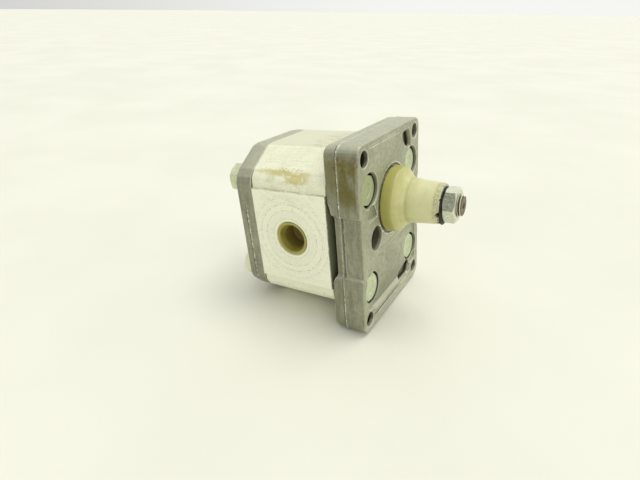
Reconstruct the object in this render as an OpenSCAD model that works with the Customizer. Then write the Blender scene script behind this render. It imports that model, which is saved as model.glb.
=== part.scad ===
// Hydraulic gear pump: flange, body and cover clamped by four tie bolts around two meshed gears.
// The X axis is the drive shaft's axis and points out of the pump.
// The origin is on that axis, in the plane of the mounting face. Z points up.

/* [Mounting flange] */
// Width across the mounting flange
flange_w = 87.5; // [87:0.5:92]
// Height of the flange's top edge above the shaft axis
flange_top = 40.5; // [40:0.5:44]
// Depth of the flange's bottom edge below the shaft axis
flange_bottom = 71.7; // [71.5:0.1:75]
// Thickness of the mounting flange
flange_t = 20.2; // [19:0.1:23]
// Radius of the flange's corners
flange_corner_r = 6.5; // [4:0.5:8]
// Diameter of the four mounting holes
mount_hole_d = 9; // [8.4:0.2:10]
// Distance between mounting holes across the flange
mount_pitch_y = 71.5; // [71:0.1:72]
// Distance between mounting holes up the flange
mount_pitch_z = 96.2; // [96:0.1:96.5]
// Height of the upper mounting holes above the shaft axis
mount_hole_up = 32.5; // [32:0.1:33]
// Diameter of the pilot boss
pilot_d = 36.5; // [36:0.1:36.5]
// Height of the pilot boss above the mounting face
pilot_h = 5; // [4.6:0.1:5.2]

/* [Body and cover] */
// Length of the pump body between the flange and the cover
body_l = 50.8; // [50.8:0.2:60]
// Width of the body across its two port faces
body_w = 87; // [86:0.5:87]
// Height of the body
body_h = 100; // [99:0.5:103]
// Height of the flat port faces
port_face_h = 57.2; // [50:0.2:60]
// Thickness of the rear cover
cover_t = 12.5; // [11:0.5:16]
// Diameter of the threaded part of each port
port_d = 20.8; // [18:0.2:21]
// Depth of the threaded part of each port
port_depth = 17; // [15:0.5:18]
// Diameter of the shallow spot face around each port
spot_face_d = 27.6; // [26:0.2:34]

/* [Gears] */
// Teeth on each gear
gear_teeth = 12; // [12]
// Gear module
gear_module = 2.6; // [2.6]
// Pressure angle of the teeth
pressure_angle = 25; // [25]
// Width of the gears
gear_w = 20; // [16:0.5:20]
// Reduction of each tooth's thickness, which gives the gears their backlash
tooth_thinning = 0.2; // [0.15:0.05:0.3]

/* [Shaft] */
// Diameter of the journals
journal_d = 17.5; // [17:0.1:17.5]
// Start of the taper in front of the mounting face
taper_start = 7; // [6:0.5:8]
// End of the taper in front of the mounting face
taper_end = 28; // [27:0.5:28]
// Loss of diameter for each millimetre of taper
taper_ratio = 0.125; // [0.1:0.005:0.13]
// Thread diameter of the shaft end
thread_d = 12; // [11:0.5:12]
// End of the shaft in front of the mounting face
shaft_end = 41.3; // [40.5:0.1:43]
// Width across flats of the shaft nut
nut_af = 18; // [17:0.5:19]
// Height of the shaft nut
nut_h = 7; // [6:0.5:7.5]
// Angle of one of the nut's corners above the Y axis
nut_corner_angle = 2; // [0:1:60]
// Diameter of the washer under the shaft nut
nut_washer_d = 22; // [20:0.5:22.5]
// Thickness of the washer under the shaft nut
nut_washer_t = 1; // [0.8:0.1:1.2]

/* [Tie bolts] */
// Thread diameter of the tie bolts
tie_d = 10; // [8:0.5:10]
// Width across flats of the bolt heads and nuts
tie_af = 16; // [15:0.5:16.5]
// Distance between tie bolts across the pump
tie_pitch_y = 60; // [59.5:0.1:60]
// Distance between tie bolts up the pump
tie_pitch_z = 59.6; // [59:0.1:60]
// Diameter of the pockets that hold the bolt heads
tie_pocket_d = 19.6; // [19.4:0.1:20]
// Depth of the pockets that hold the bolt heads
tie_pocket_depth = 8.7; // [8:0.1:9.5]

/* [Plastic covers] */
// Diameter of the shaft protector's skirt
cap_skirt_d = 39; // [38.5:0.1:40]
// Length of the shaft protector's skirt
cap_skirt_l = 7; // [6.5:0.5:8]
// Diameter of the shaft protector's tube at its outer end
cap_tip_d = 23; // [22:0.2:24]
// Outer end of the shaft protector in front of the mounting face
cap_end = 30.8; // [30.4:0.1:31]
// Depth of each port plug
plug_l = 14; // [12:0.5:15]

/* [Hidden] */
$fn = 64;
eps = 0.05;
// Clearances: between moving fits, at the gears' tips and sides, and around the protector
running_gap = 0.05;
gear_gap = 0.1;
cap_gap = 0.3;

// The pump's lengthwise planes
body_front = -flange_t;
body_back = -flange_t - body_l;
cover_back = body_back - cover_t;
gear_mid = (body_front + body_back) / 2;

// The two gear axes and the plane half way between them
axis_distance = gear_module * gear_teeth;
mid_z = -axis_distance / 2;
gear_axes = [0, -axis_distance];
pitch_r = gear_module * gear_teeth / 2;
base_r = pitch_r * cos(pressure_angle);
root_r = pitch_r - 1.25 * gear_module;
chamber_r = pitch_r + gear_module + 0.05;
tip_r = chamber_r - gear_gap;
journal_r = journal_d / 2;

// Shoulders and crowns of the body, which steps in beside its port faces, and of the cover
body_shoulder = [[0, 0], [1.5, 0], [1.9, 5.6], [5.3, 9.9]];
body_crown = [[21, 0.8], [25, 0]];
cover_shoulder = [[0, 2], [1.4, 6], [5, 10]];
cover_crown = [[20.6, 0.9], [25, 0]];
cover_edge = 2.5;

// Bearings
block_r = chamber_r - 0.05;
block_t = (body_l - gear_w) / 2 - 2 * gear_gap;
bush_bore_r = journal_r + running_gap;
bush_r = bush_bore_r + 1.5;

// Seals between the body and its ends, and on the bearing blocks
body_seal_in = chamber_r + 2.2;
body_seal_out = body_seal_in + 2.2;
body_seal_t = 2;
balance_out = block_r - 1.3;
balance_mid = balance_out - 1;
balance_in = balance_mid - 1.3;
balance_t = 2;

// Shaft seal, in the pilot's bore
seal_bore_r = 14;
seal_front = 1.5;
seal_t = 7;
seal_lip_r = journal_r + running_gap;
seal_shell_t = 2;
seal_lip_t = 1.4;
seal_floor_t = 2.5;
ring_t = 1.2;
ring_front = seal_front + 0.2 + ring_t;
ring_groove_r = 14.9;
ring_in_r = 12.4;
ring_gap_half = 3;
flange_bore_r = 10;

// The annular relief around the pilot
relief_r = 20.3;
relief_depth = 0.5;

// Tie bolts
tie_clear_r = tie_d / 2 + 0.25;
tie_head_t = 7;
tie_washer_t = 1.2;
tie_washer_r = 9;
tie_nut_t = 7;
tie_thread_stand = 0.6;
tie_end = cover_back - tie_washer_t - tie_nut_t - tie_thread_stand;
tie_pocket_lip = 0.4;

// Woodruff key, in the upper side of the taper
key_r = 6.5;
key_w = 4;
key_x = 17.5;
key_top = 8.95;

// Dowel pins
dowel_r = 3;
dowel_half_l = 7;
dowel_y = 28;
dowel_dz = 13.5;

// Ports
port_passage_r = 7.5;
spot_depth = 0.2;
plug_r = port_d / 2 - gear_gap;
plug_recess = 0.4;
plug_mouth_r = plug_r - 1.5;
plug_floor_r = plug_r - 3.3;
plug_floor_t = 1.5;

// Shaft protector
cap_bore_r = 9.4;
cap_cavity_r = pilot_d / 2 + cap_gap;
cap_cavity_end = pilot_h + cap_gap;
cap_shoulder_l = 5;
cap_shoulder_end = cap_skirt_l + cap_shoulder_l;
cap_taper = 1.9;
cap_root_r = cap_tip_d / 2 + cap_taper;
thread_r = thread_d / 2;
thread_chamfer = 1.2;
thread_relief_r = thread_r - 0.9;
journal_end_gap = 0.7;
nut_bore_r = thread_r + running_gap;

// The washer is loose on the thread and hangs down on it
nut_washer_bore_r = 7.1;
nut_washer_drop = 1;

// Flange details: side waists, a raised band across the face and the cast recesses round it
waist_top = 1;
waist_bottom = -33.5;
waist_depth = 1.2;
back_waist_top = 10;
back_waist_bottom = -42;
back_waist_depth = 8.5;
back_waist_t = 3.8;
recess_corner_r = 4;
band_edge_z = -27.2;
lower_rim_z = -58.5;
lower_recess_depth = 1.2;
side_rim = 6;
side_recess_y = 28;
side_recess_half_w = 6;
side_recess_z = [-3, 8];
side_recess_depth = 1.3;
round_recess_y = 23.5;
round_recess_z = -16;
round_recess_r = 7.2;
round_recess_depth = 9;
cast_pocket_depth = 4;
cast_pocket_r = 3;
upper_cast_pocket = [[17, 26], [27, 34.5]];
lower_cast_pocket = [[10, 27], [-64, -57]];

// A round bar along X between two planes
module bar(r, x0, x1, r_end = undef) {
    translate([x0, 0, 0])
        rotate([0, 90, 0])
            cylinder(r1 = r, r2 = is_undef(r_end) ? r : r_end, h = x1 - x0);
}

// A plate between two X planes, drawn with Y to the right and Z up
module slab(x0, x1) {
    translate([x0, 0, 0])
        rotate([90, 0, 90])
            linear_extrude(x1 - x0)
                children();
}

// A hexagonal bar along X, with a corner up
module hex_bar(across_flats, x0, x1) {
    translate([x0, 0, 0])
        rotate([0, 90, 0])
            cylinder(r = across_flats / sqrt(3), h = x1 - x0, $fn = 6);
}

module at_tie_bolts() {
    for (y = [-1, 1], up = [-1, 1])
        translate([0, y * tie_pitch_y / 2, mid_z + up * tie_pitch_z / 2])
            children();
}

module at_mount_holes() {
    for (y = [-1, 1], down = [0, 1])
        translate([0, y * mount_pitch_y / 2, mount_hole_up - down * mount_pitch_z])
            children();
}

// Two dowels at each end of the body, on opposite corners
module at_dowels() {
    for (side = [-1, 1], end = [body_front, body_back])
        translate([end, side * dowel_y, mid_z + side * dowel_dz])
            children();
}

module rounded_rect(y0, y1, z0, z1, r) {
    translate([y0 + r, z0])
        square([y1 - y0 - 2 * r, z1 - z0]);
    translate([y0, z0 + r])
        square([y1 - y0, z1 - z0 - 2 * r]);
    for (y = [y0 + r, y1 - r], z = [z0 + r, z1 - r])
        translate([y, z])
            circle(r);
}

// Two circles, one on each gear axis
module figure_eight(r) {
    for (z = gear_axes)
        translate([0, z])
            circle(r);
}

// Two circles on the gear axes, joined by a straight-sided waist
module racetrack(r) {
    figure_eight(r);
    translate([-r, -axis_distance])
        square([2 * r, axis_distance]);
}

// The upper right quarter of an outline, as [y, height above mid_z]. The shoulder's points are
// [distance in from the side, height above the port face], and the crown's are
// [distance in from the side, distance below the top].
function outline_quarter(half_w, half_h, shoulder, crown) = concat(
    [for (point = shoulder) [half_w - point[0], port_face_h / 2 + point[1]]],
    [for (point = crown) [half_w - point[0], half_h - point[1]]]
);

// A quarter outline mirrored to all four sides, in order round the centre
function whole_outline(quarter) = let (n = len(quarter)) concat(
    [for (i = [0 : n - 1]) [quarter[i][0], mid_z + quarter[i][1]]],
    [for (i = [n - 1 : -1 : 0]) [-quarter[i][0], mid_z + quarter[i][1]]],
    [for (i = [0 : n - 1]) [-quarter[i][0], mid_z - quarter[i][1]]],
    [for (i = [n - 1 : -1 : 0]) [quarter[i][0], mid_z - quarter[i][1]]]
);

// Half the angle that a tooth takes at radius r, in degrees
function roll(r) = sqrt(max(0, pow(r / base_r, 2) - 1));
function involute(r) = roll(r) * 180 / PI - atan(roll(r));
function tooth_half_angle(r) =
    (gear_module * PI / 2 - tooth_thinning) / 2 / pitch_r * 180 / PI
    + involute(pitch_r) - involute(r);

// A spur gear's outline with a tooth on the Y axis. The flanks are involutes above the base circle.
flank_steps = 6;
function flank_r(i) = base_r + (tip_r - base_r) * i / flank_steps;
function polar(r, angle) = [r * cos(angle), r * sin(angle)];
module gear_outline() {
    polygon([
        for (tooth = [0 : gear_teeth - 1])
            let (middle = tooth * 360 / gear_teeth)
            each concat(
                [polar(root_r, middle - tooth_half_angle(base_r))],
                [for (i = [0 : flank_steps])
                    polar(flank_r(i), middle - tooth_half_angle(flank_r(i)))],
                [for (i = [flank_steps : -1 : 0])
                    polar(flank_r(i), middle + tooth_half_angle(flank_r(i)))],
                [polar(root_r, middle + tooth_half_angle(base_r))]
            )
    ]);
}

// The shallow waist and the deeper hollow behind it, on one side of the flange
module flange_side_waist() {
    translate([0, flange_w / 2, 0]) {
        translate([-flange_t - 1, -waist_depth, waist_bottom])
            cube([flange_t + 2, waist_depth + 1, waist_top - waist_bottom]);
        translate([-flange_t, 1, back_waist_bottom])
            rotate([90, 0, 0])
                linear_extrude(back_waist_depth + 1)
                    rounded_rect(-back_waist_t, back_waist_t, 0, back_waist_top - back_waist_bottom,
                        back_waist_t - eps);
    }
}

module flange_face_recesses() {
    // Broad recess below the raised band
    slab(-lower_recess_depth, 1)
        rounded_rect(-flange_w / 2 + side_rim, flange_w / 2 - side_rim, lower_rim_z, band_edge_z,
            recess_corner_r);
    // Recess between the upper bolt pockets and the band
    for (side = [-1, 1])
        slab(-side_recess_depth, 1)
            translate([side * side_recess_y, 0])
                rounded_rect(-side_recess_half_w, side_recess_half_w,
                    side_recess_z[0], side_recess_z[1], cast_pocket_r);
    // Round recesses beside the pilot
    for (side = [-1, 1])
        translate([0, side * round_recess_y, round_recess_z])
            bar(round_recess_r, -round_recess_depth, 1);
    // Cast pockets between the corner holes and the bolt pockets, on the right
    slab(-cast_pocket_depth, 1)
        for (pocket = [upper_cast_pocket, lower_cast_pocket])
            rounded_rect(pocket[0][0], pocket[0][1], pocket[1][0], pocket[1][1], cast_pocket_r);
}

module mounting_flange() {
    color("dimgray")
        difference() {
            union() {
                slab(-flange_t, 0)
                    rounded_rect(-flange_w / 2, flange_w / 2, -flange_bottom, flange_top, flange_corner_r);
                bar(pilot_d / 2, -1, pilot_h);
            }
            difference() {
                bar(relief_r, -relief_depth, 1);
                bar(pilot_d / 2, -1, 2);
            }
            bar(seal_bore_r, seal_front - seal_t, pilot_h + 1);
            bar(ring_groove_r, ring_front - ring_t, ring_front);
            bar(flange_bore_r, -flange_t - 1, 0);
            at_mount_holes()
                bar(mount_hole_d / 2, -flange_t - 1, 1);
            at_tie_bolts() {
                bar(tie_pocket_d / 2, -tie_pocket_depth, 1);
                bar(tie_pocket_d / 2, -tie_pocket_lip, eps, tie_pocket_d / 2 + tie_pocket_lip + eps);
                bar(tie_clear_r, -flange_t - 1, 0);
            }
            at_dowels()
                bar(dowel_r, -1, dowel_half_l);
            for (side = [0, 1])
                mirror([0, side, 0])
                    flange_side_waist();
            flange_face_recesses();
        }
}

module pump_body() {
    color("gainsboro")
        difference() {
            slab(body_back, body_front)
                polygon(whole_outline(
                    outline_quarter(body_w / 2, body_h / 2, body_shoulder, body_crown)));
            slab(body_back - 1, body_front + 1)
                figure_eight(chamber_r);
            at_tie_bolts()
                bar(tie_clear_r, body_back - 1, body_front + 1);
            at_dowels()
                bar(dowel_r, -dowel_half_l, dowel_half_l);
            body_seal(body_front - body_seal_t, body_front + 1);
            body_seal(body_back - 1, body_back + body_seal_t);
            for (side = [-1, 1])
                translate([gear_mid, 0, mid_z])
                    rotate([-90 * side, 0, 0]) {
                        cylinder(r = port_passage_r, h = body_w / 2);
                        translate([0, 0, body_w / 2 - port_depth])
                            cylinder(r = port_d / 2, h = port_depth + 1);
                        translate([0, 0, body_w / 2 - spot_depth])
                            cylinder(r = spot_face_d / 2, h = 1);
                    }
        }
}

module cover_outline(inset) {
    polygon(whole_outline(
        outline_quarter(body_w / 2 - inset, body_h / 2 - inset, cover_shoulder, cover_crown)));
}

module rear_cover() {
    color("dimgray")
        difference() {
            union() {
                slab(cover_back + cover_edge, body_back)
                    cover_outline(0);
                slab(cover_back, cover_back + cover_edge + eps)
                    cover_outline(cover_edge / 2);
            }
            at_tie_bolts()
                bar(tie_clear_r, cover_back - 1, body_back + 1);
            at_dowels()
                bar(dowel_r, -dowel_half_l, 1);
        }
}

module body_seal(x0, x1) {
    slab(x0, x1)
        difference() {
            racetrack(body_seal_out);
            racetrack(body_seal_in);
        }
}

module front_body_seal() {
    color("black")
        body_seal(body_front - body_seal_t, body_front);
}

module rear_body_seal() {
    color("black")
        body_seal(body_back, body_back + body_seal_t);
}

// A bearing block with its back against an end of the body. The groove for the seals faces that end.
module bearing_block(x0, x1, groove_x0, groove_x1) {
    difference() {
        slab(x0, x1)
            figure_eight(block_r);
        slab(groove_x0, groove_x1)
            difference() {
                figure_eight(balance_out);
                figure_eight(balance_in);
            }
        for (z = gear_axes)
            translate([0, 0, z])
                bar(bush_r, x0 - 1, x1 + 1);
    }
}

front_block_front = body_front - gear_gap;
front_block_back = front_block_front - block_t;
rear_block_back = body_back + gear_gap;
rear_block_front = rear_block_back + block_t;

module front_bearing_block() {
    color("silver")
        bearing_block(front_block_back, front_block_front,
            front_block_front - balance_t, front_block_front + 1);
}

module rear_bearing_block() {
    color("silver")
        bearing_block(rear_block_back, rear_block_front,
            rear_block_back - 1, rear_block_back + balance_t);
}

module bush(z, x0, x1) {
    translate([0, 0, z])
        difference() {
            bar(bush_r, x0, x1);
            bar(bush_bore_r, x0 - 1, x1 + 1);
        }
}

module front_drive_bush() {
    color("peru")
        bush(gear_axes[0], front_block_back, front_block_front);
}

module front_driven_bush() {
    color("peru")
        bush(gear_axes[1], front_block_back, front_block_front);
}

module rear_drive_bush() {
    color("peru")
        bush(gear_axes[0], rear_block_back, rear_block_front);
}

module rear_driven_bush() {
    color("peru")
        bush(gear_axes[1], rear_block_back, rear_block_front);
}

// The seal follows the outside of the block and the backup ring lies inside it
module balance_seal(x0, x1) {
    slab(x0, x1)
        difference() {
            figure_eight(balance_out);
            figure_eight(balance_mid);
        }
}

module backup_ring(x0, x1) {
    slab(x0, x1)
        difference() {
            figure_eight(balance_mid);
            figure_eight(balance_in);
        }
}

module front_balance_seal() {
    color("black")
        balance_seal(front_block_front - balance_t, body_front);
}

module rear_balance_seal() {
    color("black")
        balance_seal(body_back, rear_block_back + balance_t);
}

module front_backup_ring() {
    color("ivory")
        backup_ring(front_block_front - balance_t, body_front);
}

module rear_backup_ring() {
    color("ivory")
        backup_ring(body_back, rear_block_back + balance_t);
}

module gear() {
    slab(gear_mid - gear_w / 2, gear_mid + gear_w / 2)
        gear_outline();
}

module key_disc(width) {
    translate([key_x, width / 2, key_top])
        rotate([90, 0, 0])
            cylinder(r = key_r, h = width);
}

module drive_gear_shaft() {
    taper_end_r = journal_r - (taper_end - taper_start) * taper_ratio / 2;
    color("lightslategray")
        difference() {
            union() {
                gear();
                bar(journal_r, body_back + journal_end_gap, taper_start);
                bar(journal_r, taper_start, taper_end, taper_end_r);
                bar(thread_relief_r, taper_end - 1, cap_end);
                bar(thread_r, cap_end, shaft_end - thread_chamfer);
                bar(thread_r, shaft_end - thread_chamfer, shaft_end, thread_r - thread_chamfer);
            }
            key_disc(key_w);
        }
}

module driven_gear_shaft() {
    color("lightslategray")
        translate([0, 0, gear_axes[1]]) {
            rotate([180 / gear_teeth, 0, 0])
                gear();
            bar(journal_r, body_back + journal_end_gap, body_front - journal_end_gap / 2);
        }
}

module shaft_seal() {
    color("black")
        difference() {
            bar(seal_bore_r, seal_front - seal_t, seal_front);
            bar(seal_lip_r, seal_front - seal_t - 1, seal_front + 1);
            // The hollow between the lip and the outer shell, open to the front
            difference() {
                bar(seal_bore_r - seal_shell_t, seal_front - seal_t + seal_floor_t, seal_front + 1);
                bar(seal_lip_r + seal_lip_t, seal_front - seal_t, seal_front + 2);
            }
        }
}

// The ring's gap is at its lowest point
module seal_retaining_ring() {
    color("gray")
        difference() {
            bar(ring_groove_r, ring_front - ring_t, ring_front);
            bar(ring_in_r, ring_front - ring_t - 1, ring_front + 1);
            translate([ring_front - ring_t - 1, -ring_gap_half, -ring_groove_r - 1])
                cube([ring_t + 2, 2 * ring_gap_half, ring_groove_r - ring_in_r + 2]);
        }
}

module shaft_key() {
    color("gray")
        intersection() {
            key_disc(key_w);
            translate([0, -key_w, 0])
                cube([2 * key_x, 2 * key_w, key_top]);
        }
}

module dowel_pins() {
    color("gray")
        at_dowels()
            bar(dowel_r, -dowel_half_l, dowel_half_l);
}

module tie_bolts() {
    color("darkseagreen")
        at_tie_bolts() {
            hex_bar(tie_af, -tie_pocket_depth, -tie_pocket_depth + tie_head_t);
            bar(tie_d / 2, tie_end, -tie_pocket_depth + eps);
        }
}

module tie_bolt_washers() {
    color("darkseagreen")
        at_tie_bolts()
            difference() {
                bar(tie_washer_r, cover_back - tie_washer_t, cover_back);
                bar(tie_d / 2, cover_back - tie_washer_t - 1, cover_back + 1);
            }
}

module tie_bolt_nuts() {
    nut_front = cover_back - tie_washer_t;
    color("darkseagreen")
        at_tie_bolts()
            difference() {
                hex_bar(tie_af, nut_front - tie_nut_t, nut_front);
                bar(tie_d / 2, nut_front - tie_nut_t - 1, nut_front + 1);
            }
}

module shaft_protector() {
    color("cornsilk")
        difference() {
            union() {
                bar(cap_skirt_d / 2, cap_gap, cap_skirt_l);
                bar(cap_skirt_d / 2, cap_skirt_l, cap_shoulder_end, cap_root_r);
                bar(cap_root_r, cap_shoulder_end, cap_end, cap_tip_d / 2);
            }
            bar(cap_cavity_r, 0, cap_cavity_end);
            bar(cap_bore_r, 0, cap_end + 1);
        }
}

module nut_washer() {
    color("darkslategray")
        translate([0, 0, -nut_washer_drop])
            difference() {
                bar(nut_washer_d / 2, cap_end, cap_end + nut_washer_t);
                bar(nut_washer_bore_r, cap_end - 1, cap_end + nut_washer_t + 1);
            }
}

module shaft_nut() {
    nut_back = cap_end + nut_washer_t;
    color("lightgray")
        difference() {
            rotate([nut_corner_angle - 30, 0, 0])
                hex_bar(nut_af, nut_back, nut_back + nut_h);
            bar(nut_bore_r, nut_back - 1, nut_back + nut_h + 1);
        }
}

// A hollow plug with its mouth at a port face. It points along Z before it is placed.
module port_plug(side) {
    mouth = body_w / 2 - plug_recess;
    floor_z = mouth - plug_l + plug_floor_t;
    color("khaki")
        translate([gear_mid, 0, mid_z])
            rotate([-90 * side, 0, 0])
                difference() {
                    translate([0, 0, mouth - plug_l])
                        cylinder(r = plug_r, h = plug_l);
                    translate([0, 0, floor_z])
                        cylinder(r1 = plug_floor_r, r2 = plug_mouth_r, h = mouth - floor_z);
                    translate([0, 0, mouth - eps])
                        cylinder(r = plug_mouth_r, h = 1);
                }
}

module inlet_plug() {
    port_plug(-1);
}

module outlet_plug() {
    port_plug(1);
}

mounting_flange();
pump_body();
rear_cover();
drive_gear_shaft();
driven_gear_shaft();
front_bearing_block();
rear_bearing_block();
front_drive_bush();
front_driven_bush();
rear_drive_bush();
rear_driven_bush();
front_body_seal();
rear_body_seal();
front_balance_seal();
rear_balance_seal();
front_backup_ring();
rear_backup_ring();
shaft_seal();
seal_retaining_ring();
shaft_key();
dowel_pins();
tie_bolts();
tie_bolt_washers();
tie_bolt_nuts();
shaft_protector();
nut_washer();
shaft_nut();
inlet_plug();
outlet_plug();
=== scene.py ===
"""Hydraulic gear pump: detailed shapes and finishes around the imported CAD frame."""

import math

import bmesh
import bpy
import numpy as np
from mathutils import Matrix, Vector

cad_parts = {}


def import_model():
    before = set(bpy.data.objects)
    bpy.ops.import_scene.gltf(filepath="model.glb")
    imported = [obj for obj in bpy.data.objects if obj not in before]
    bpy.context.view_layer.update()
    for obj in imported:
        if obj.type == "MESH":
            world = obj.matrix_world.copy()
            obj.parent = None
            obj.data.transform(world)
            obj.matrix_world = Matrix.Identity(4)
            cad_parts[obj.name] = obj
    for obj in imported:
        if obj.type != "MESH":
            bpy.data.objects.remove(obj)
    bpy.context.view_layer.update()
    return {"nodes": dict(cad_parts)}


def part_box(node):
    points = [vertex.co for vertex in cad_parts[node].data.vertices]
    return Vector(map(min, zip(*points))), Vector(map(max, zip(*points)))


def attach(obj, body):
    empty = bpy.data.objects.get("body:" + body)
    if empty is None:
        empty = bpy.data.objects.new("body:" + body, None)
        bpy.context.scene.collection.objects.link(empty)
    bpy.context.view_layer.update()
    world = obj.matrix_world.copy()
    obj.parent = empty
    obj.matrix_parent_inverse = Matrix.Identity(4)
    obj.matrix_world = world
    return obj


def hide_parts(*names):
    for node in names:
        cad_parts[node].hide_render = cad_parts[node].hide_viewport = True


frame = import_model()

MM = 0.001
ROUND_STEPS = 96
SHARP_ANGLE = math.radians(32)


# ---- places from the CAD frame, then given sizes, all in mm
def span(node):
    """Lowest and highest corner of a CAD node in millimetres."""
    low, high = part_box(node)
    return [value / MM for value in low], [value / MM for value in high]


FLANGE_LOW, FLANGE_HIGH = span("mounting_flange")
BODY_LOW, BODY_HIGH = span("pump_body")
COVER_LOW, COVER_HIGH = span("rear_cover")
BOLT_LOW, BOLT_HIGH = span("tie_bolts")
WASHER_LOW, WASHER_HIGH = span("tie_bolt_washers")
REAR_NUT_LOW, REAR_NUT_HIGH = span("tie_bolt_nuts")
SHAFT_HIGH = span("drive_gear_shaft")[1]
NUT_LOW, NUT_HIGH = span("shaft_nut")
LOOSE_WASHER_LOW, LOOSE_WASHER_HIGH = span("nut_washer")
CAP_LOW, CAP_HIGH = span("shaft_protector")
PLUG_LOW, PLUG_HIGH = span("inlet_plug")
SEAL_LOW = span("shaft_seal")[0]
RING_LOW, RING_HIGH = span("seal_retaining_ring")
DRIVEN_LOW, DRIVEN_HIGH = span("driven_gear_shaft")

MID_Z = (BODY_LOW[2] + BODY_HIGH[2]) / 2
DRIVEN_Z = (DRIVEN_LOW[2] + DRIVEN_HIGH[2]) / 2
PORT_X = (PLUG_LOW[0] + PLUG_HIGH[0]) / 2
BODY_HALF_W = BODY_HIGH[1]
BODY_HALF_H = (BODY_HIGH[2] - BODY_LOW[2]) / 2
WASHER_RADIUS = 9
TIE_Y = WASHER_HIGH[1] - WASHER_RADIUS
TIE_UP = WASHER_HIGH[2] - WASHER_RADIUS
TIE_DOWN = WASHER_LOW[2] + WASHER_RADIUS
TIE_PLACES = [(y, z) for y in (-TIE_Y, TIE_Y) for z in (TIE_DOWN, TIE_UP)]
MOUNT_PLACES = [(y, z) for y in (-35.75, 35.75) for z in (-63.7, 32.5)]
DOWEL_PLACES = [(-28, MID_Z - 13.5), (28, MID_Z + 13.5)]

# Depths, lines and radii that the visible shapes and the materials share
POCKET_FLOOR = -8.7
OVAL_Y = 23.5
OVAL_Z = -16
FLANGE_LINE_X = -12.1
COVER_LINE_X = -76.6
TIE_HOLE = 5.25
MOUNT_HOLE = 4.5
DOWEL_HOLE = 3
DOWEL_DEPTH = 7
PILOT_RADIUS = 18.25
CHAMBER_RADIUS = 18.25
PORT_ROOT = 10.95
PORT_CREST = 10.4
PORT_PITCH = 1.4


# ---- mesh tools
def fillet(corners, closed=True, steps=6):
    """Turns corners (a, b, radius) into a path with an arc at every corner that has a radius."""
    path = []
    count = len(corners)
    for index, (a, b, radius) in enumerate(corners):
        here = np.array((a, b), float)
        if radius == 0 or (not closed and index in (0, count - 1)):
            path.append(here)
            continue
        back = np.array(corners[index - 1][:2], float) - here
        ahead = np.array(corners[(index + 1) % count][:2], float) - here
        reach = 0.49 * min(np.linalg.norm(back), np.linalg.norm(ahead))
        back /= np.linalg.norm(back)
        ahead /= np.linalg.norm(ahead)
        half = 0.5 * math.acos(max(-1.0, min(1.0, float(back @ ahead))))
        tangent = min(radius / math.tan(half), reach)
        radius = tangent * math.tan(half)
        middle = back + ahead
        middle /= np.linalg.norm(middle)
        centre = here + middle * radius / math.sin(half)
        start = here + back * tangent - centre
        end = here + ahead * tangent - centre
        angle = math.atan2(start[1], start[0])
        sweep = math.atan2(end[1], end[0]) - angle
        sweep = (sweep + math.pi) % (2 * math.pi) - math.pi
        for step in range(steps + 1):
            turn = angle + sweep * step / steps
            path.append(centre + radius * np.array((math.cos(turn), math.sin(turn))))
    return path


def grow(corners, distance):
    """Moves a closed outline's edges outwards. The corners run anticlockwise."""
    grown = []
    count = len(corners)
    for index, (a, b, radius) in enumerate(corners):
        before = np.array(corners[index - 1][:2], float)
        here = np.array((a, b), float)
        after = np.array(corners[(index + 1) % count][:2], float)
        edge_in = (here - before) / np.linalg.norm(here - before)
        edge_out = (after - here) / np.linalg.norm(after - here)
        normal_in = np.array((edge_in[1], -edge_in[0]))
        normal_out = np.array((edge_out[1], -edge_out[0]))
        shift = (normal_in + normal_out) * distance / (1 + float(normal_in @ normal_out))
        convex = edge_in[0] * edge_out[1] - edge_in[1] * edge_out[0] > 0
        if radius > 0:
            radius = max(0.05, radius + (distance if convex else -distance))
        grown.append((here[0] + shift[0], here[1] + shift[1], radius))
    return grown


def circle(radius, centre=(0, 0), steps=ROUND_STEPS):
    turns = [2 * math.pi * step / steps for step in range(steps)]
    return [(centre[0] + radius * math.cos(t), centre[1] + radius * math.sin(t)) for t in turns]


def rectangle(a0, a1, b0, b1, radius):
    return [(a0, b0, radius), (a1, b0, radius), (a1, b1, radius), (a0, b1, radius)]


def place(along, a, b, axis):
    """A point from its distance along an axis and its two sizes across it."""
    return (along, a, b) if axis == "X" else (a, along, b)


def add_object(name, data):
    made = bpy.data.objects.new(name, data)
    bpy.context.scene.collection.objects.link(made)
    return made


def mesh_object(name, points, faces):
    mesh = bpy.data.meshes.new(name)
    mesh.from_pydata([tuple(float(v) * MM for v in point) for point in points], [], faces)
    mesh.update()
    work = bmesh.new()
    work.from_mesh(mesh)
    bmesh.ops.recalc_face_normals(work, faces=work.faces)
    work.to_mesh(mesh)
    work.free()
    return add_object(name, mesh)


def loft(name, loops, axis="X", ring=False):
    """A closed solid through loops of equal count. Each loop is (distance along the axis, [(a, b)...])."""
    count = len(loops[0][1])
    points = [place(along, a, b, axis) for along, loop in loops for a, b in loop]
    faces = []
    pairs = len(loops) if ring else len(loops) - 1
    for level in range(pairs):
        low = level * count
        high = (level + 1) % len(loops) * count
        for i in range(count):
            j = (i + 1) % count
            faces.append((low + i, low + j, high + j, high + i))
    if not ring:
        faces.append(tuple(range(count)))
        faces.append(tuple(range(len(points) - count, len(points))))
    return mesh_object(name, points, faces)


def lathe(name, profile, centre=(0, 0), axis="X", steps=ROUND_STEPS, ring=False):
    """Turns a profile of (along, radius) about an axis. ring joins its last point to its first."""
    loops = [(along, circle(max(radius, 0.01), centre, steps)) for along, radius in profile]
    return loft(name, loops, axis, ring)


def shaped(name, corners, profile, axis="X"):
    """An outline swept along an axis, grown by the profile's (along, growth)."""
    return loft(name, [(along, fillet(grow(corners, more))) for along, more in profile], axis)


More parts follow.
